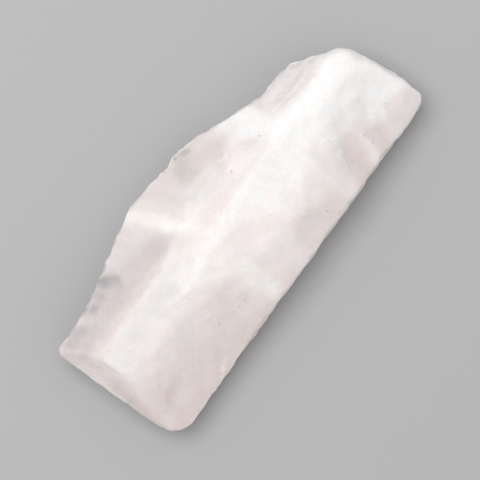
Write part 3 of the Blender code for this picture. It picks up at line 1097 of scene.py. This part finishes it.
def stroke_mask(tree, flat_place, name, start, end, reach, strength):
    """The mask of one soft stroke across the top of the stone."""
    feeds = {"Place": flat_place, "From": on_top(start), "To": on_top(end),
             "Reach": reach, "Strength": strength}
    return add(tree, "ShaderNodeGroup", feeds, node_tree=stroke, label=name).outputs["Mask"]


def marked(tree, colour, place):
    """Lay the dark marks and the torn white bruises over a colour."""
    flat = vector_maths(tree, "MULTIPLY", bent(tree, place, *MARK_BENDS),
                        (1.0, 1.0, DOWN_COUNTS))
    feeds = {"Vector": flat, "Rotation": (0.0, 0.0, SHRED_TURN), "Scale": SHRED_SHAPE}
    drawn_out = add(tree, "ShaderNodeMapping", feeds).outputs["Vector"]
    torn = fade(tree, noise_value(tree, drawn_out, *SHRED_NOISE), *SHRED_SHOWS)
    for name, (*line, tint) in {**FLECKS, **BRUISES}.items():
        mask = stroke_mask(tree, flat, name, *line)
        if name in BRUISES:
            mask = maths(tree, "MULTIPLY", mask, torn)
        colour = glaze(tree, mask, colour, tint)
    return colour


print(f"the crest is {on_top((0, 3))[2] / DOWN_COUNTS:.1f} mm high")

# %% [markdown]
# ## The stone's material
# A Principled shader with Subsurface lets light into the surface and out again nearby,
# which is what makes milky quartz glow. Only the colour, the sheen and the grain vary. How
# far light travels and how strongly it bends are the same all over, so they are set on the
# shader itself. The last glazes are painted light and shade: a painted highlight whitens the
# rim and the arrises, and painted shade deepens the hollows.

# %% Rose quartz
# painted light and shade: a painted highlight on the arrises and the rim, painted shade in the
# hollows
EDGE_HIGHLIGHT_AND_SHADE_GLAZES = (  # the same columns as the glazes by lean
    ("arris", 0.35, 1.0, 0.10, WHITE),
    ("arris", -0.2, -0.8, 0.25, ROSE),
    ("rim", 0.1, 0.8, 0.55, IVORY),
)
GRAIN_NOISE = (1.5, 6.0, 0.6)  # size, detail and roughness
SHEEN = (0.3, 0.7, 0.36, 0.5)  # from this range of grain to this range of roughness
BUMP = {"Strength": 0.7, "Distance": 0.22 * MM}
LIGHT_REACH = 3.6  # how far red light travels in the stone, in millimetres
SAME_ALL_OVER = {
    "Metallic": 0.0,
    "IOR": 1.54,
    "Subsurface Weight": 0.75,
    "Subsurface Radius": (1.0, 0.75, 0.7),  # red, green and blue, of that reach
    "Subsurface Scale": LIGHT_REACH * MM,
}


def rose_quartz_material():
    """Milky stone that takes light in and gives it out again nearby."""
    material = bpy.data.materials.new("rose_quartz_milky")
    material.use_nodes = True
    tree = material.node_tree
    shader = tree.nodes["Principled BSDF"]
    coords = add(tree, "ShaderNodeTexCoord").outputs["Object"]
    feeds = {"Vector": coords, "Scale": (1 / MM, 1 / MM, 1 / MM)}
    place = add(tree, "ShaderNodeMapping", feeds).outputs["Vector"]

    colour = patterned(tree, body_colour_and_shade(tree), place)
    colour = glaze_by_measure(tree, marked(tree, colour, place), EDGE_HIGHLIGHT_AND_SHADE_GLAZES)
    tree.links.new(colour, shader.inputs["Base Color"])

    grain = noise_value(tree, place, *GRAIN_NOISE)
    tree.links.new(fade(tree, grain, *SHEEN), shader.inputs["Roughness"])
    bump = add(tree, "ShaderNodeBump", {"Height": grain, **BUMP})
    tree.links.new(bump.outputs["Normal"], shader.inputs["Normal"])
    for socket, value in SAME_ALL_OVER.items():
        shader.inputs[socket].default_value = value
    return material


stone.data.materials.clear()
stone.data.materials.append(rose_quartz_material())
stone.data.shade_smooth()
print("material:", len(stone.data.materials[0].node_tree.nodes), "nodes")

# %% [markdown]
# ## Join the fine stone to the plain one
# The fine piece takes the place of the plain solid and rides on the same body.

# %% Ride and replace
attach(stone, "root")
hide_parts("rose_quartz")
print("the fine stone rides on the root")

# %% [markdown]
# ## Floor
# The stone lies on a plain pale floor, wide enough to fill the picture from any side.

# %% Floor
FLOOR_SIDE = 3.0  # in metres
FLOOR_GREY = (0.46, 0.46, 0.47, 1.0)
FLOOR_ROUGHNESS = 0.9
floor_mesh = bpy.data.meshes.new("floor")
sheet = bmesh.new()
bmesh.ops.create_grid(sheet, x_segments=1, y_segments=1, size=FLOOR_SIDE / 2)
sheet.to_mesh(floor_mesh)
sheet.free()
floor = put_in_scene("floor", floor_mesh)
floor_material = bpy.data.materials.new("pale_floor")
floor_material.use_nodes = True
floor_shader = floor_material.node_tree.nodes["Principled BSDF"]
floor_shader.inputs["Base Color"].default_value = FLOOR_GREY
floor_shader.inputs["Roughness"].default_value = FLOOR_ROUGHNESS
floor_mesh.materials.append(floor_material)
print(f"floor: {FLOOR_SIDE} m wide")

# %% [markdown]
# ## Light
# One wide soft light stands above the thin edge, so the shadow falls to the side of the
# long straight edge, and an even light from all round fills the rest. Places are given as
# right and up in the picture, in which the slab lies on a slant.

# %% Light
SLANT = math.radians(54)  # the slab's length, up from the picture's level
KEY_SIDE = 0.50  # in metres
KEY_POWER = 3.0  # in watts
KEY_RIGHT, KEY_UP, KEY_HIGH = -0.20, 0.15, 0.71  # in metres
FILL_COLOUR = (1.0, 0.99, 0.985, 1.0)
FILL_STRENGTH = 0.63


def picture_direction(right, up):
    """A level direction given as right and up in the picture."""
    return Vector((
        right * math.cos(SLANT) + up * math.sin(SLANT),
        -right * math.sin(SLANT) + up * math.cos(SLANT),
        0.0,
    ))


lamp = bpy.data.lights.new("key", "AREA")
lamp.shape, lamp.size, lamp.energy = "SQUARE", KEY_SIDE, KEY_POWER
key_place = picture_direction(KEY_RIGHT, KEY_UP) + Vector((0, 0, KEY_HIGH))
key = put_in_scene("key", lamp)
key.location = key_place
key.rotation_euler = key_place.to_track_quat("Z", "Y").to_euler()

world = bpy.data.worlds.new("studio")
world.use_nodes = True
background = world.node_tree.nodes["Background"]
background.inputs["Color"].default_value = FILL_COLOUR
background.inputs["Strength"].default_value = FILL_STRENGTH
bpy.context.scene.world = world
print(f"key light {key_place.length:.2f} m from the stone")

# %% [markdown]
# ## Camera
# The camera looks straight down through a long lens, so that the outline is hardly bent by
# perspective, and it is turned so that the slab lies on its slant.

# %% Camera
FRAME_WIDE = 141.2 * MM  # how much of the floor the picture takes in
LENS = 200.0  # in millimetres, as is the sensor
SENSOR = 36.0
AIM = Vector((-3.9, -5.8, 10.0)) * MM

camera_data = bpy.data.cameras.new("camera")
camera_data.lens = LENS
camera_data.sensor_width = SENSOR
camera = put_in_scene("camera", camera_data)
camera.location = AIM + Vector((0, 0, FRAME_WIDE * LENS / SENSOR))
right = picture_direction(1, 0)
up = picture_direction(0, 1)
camera.rotation_mode = "QUATERNION"
camera.rotation_quaternion = Matrix((right, up, Vector((0, 0, 1)))).transposed().to_quaternion()
bpy.context.scene.camera = camera
bpy.context.scene.view_settings.view_transform = "Standard"
print(f"camera {camera.location.z:.2f} m up")
